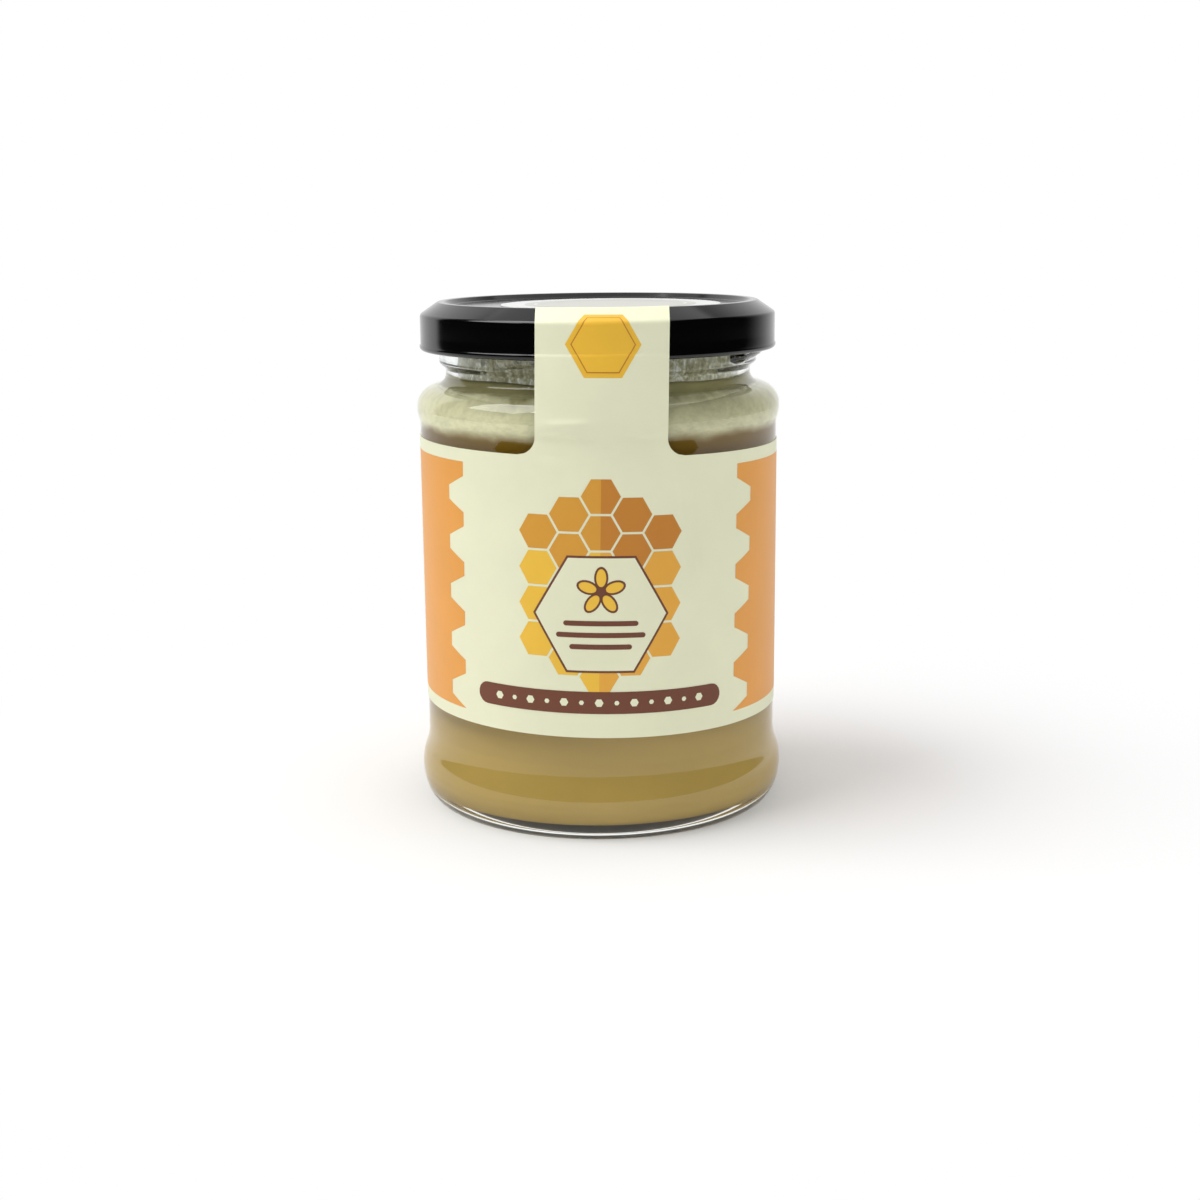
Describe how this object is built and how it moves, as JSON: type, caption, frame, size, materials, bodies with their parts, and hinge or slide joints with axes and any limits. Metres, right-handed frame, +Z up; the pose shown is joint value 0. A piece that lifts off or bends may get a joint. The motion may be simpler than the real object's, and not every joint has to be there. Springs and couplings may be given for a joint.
{
  "type": "honey jar",
  "caption": "Round panelled glass jar of set honey with a black twist-off lid, a wrapped paper label whose strip runs over the lid, and a round lid sticker.",
  "frame": {"origin": "centre of the jar's standing ring, on the surface it stands on", "axes": "+Z up along the jar's axis, -Y towards the middle of the label, +X to the right as seen from the front"},
  "size_m": [0.076, 0.076, 0.1035],
  "materials": {
    "jar_glass": "clear gloss",
    "set_honey": "opaque set honey, smooth against the glass",
    "lid_lacquer": "black gloss lacquer on tinplate",
    "label_paper": "satin coated paper",
    "sticker_paper": "satin coated paper"
  },
  "bodies": {
    "root": {"glass_jar": "jar_glass", "honey": "set_honey", "lid": "lid_lacquer", "label": "label_paper", "lid_sticker": "sticker_paper"}
  },
  "joints": []
}
